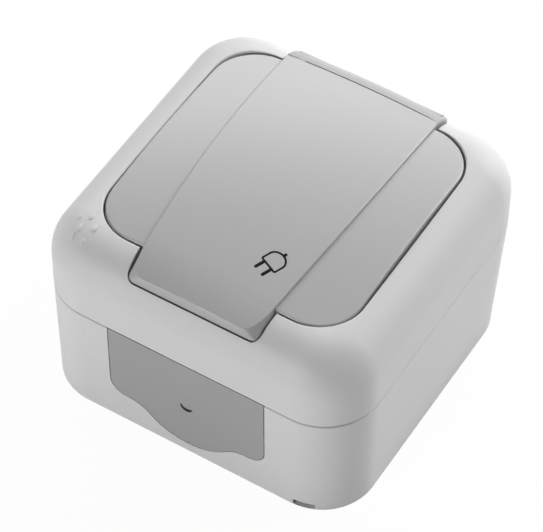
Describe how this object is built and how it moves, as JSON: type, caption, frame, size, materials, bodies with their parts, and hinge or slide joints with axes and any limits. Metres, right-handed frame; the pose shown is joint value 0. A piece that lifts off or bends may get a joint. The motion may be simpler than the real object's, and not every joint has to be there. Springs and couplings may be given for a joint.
{
  "type": "weatherproof wall socket",
  "caption": "Surface-mount weatherproof wall socket: rounded square box with a sprung hinged lid over a round plug well with side earth contacts, and a soft cable entry in the front wall.",
  "frame": {"origin": "middle of the back face, which lies on the wall or, in the picture, on the ground", "axes": "+Z out from the wall through the lid, +Y towards the hinge, -Y towards the cable entry, +X to the right seen from the front with the hinge up"},
  "size_m": [0.074, 0.074, 0.0494],
  "materials": {
    "housing_plastic": "light grey, fine satin",
    "lid_plastic": "mid grey, fine satin",
    "entry_rubber": "mid grey, matt",
    "seal_rubber": "black, matt",
    "well_plastic": "mid grey, fine satin",
    "carrier_plastic": "off-white, matt",
    "steel": "zinc plated",
    "brass": "plain"
  },
  "bodies": {
    "housing": {"back_box": "housing_plastic", "front_cover": "housing_plastic", "hinge_pin": "steel", "lid_spring": "steel", "cover_gasket": "seal_rubber", "cable_grommet": "entry_rubber", "socket_well": "well_plastic", "well_screw": "steel", "contact_carrier": "carrier_plastic", "line_contact": "brass", "neutral_contact": "brass", "earth_strap": "brass", "line_terminal": "brass", "neutral_terminal": "brass", "earth_terminal": "brass", "terminal_screws": "steel", "carrier_screws": "steel", "cover_screws": "steel"},
    "lid": {"lid": "lid_plastic", "lid_gasket": "seal_rubber"}
  },
  "joints": [
    {"name": "lid_hinge", "type": "hinge", "parent": "housing", "child": "lid", "pos_m": [0, 0.0322, 0.0426], "axis": [-1, 0, 0], "range_deg": [0, 105], "stiffness_Nm_per_rad": 0.012, "springref_deg": -40.11, "deforming": ["lid_spring"]}
  ]
}
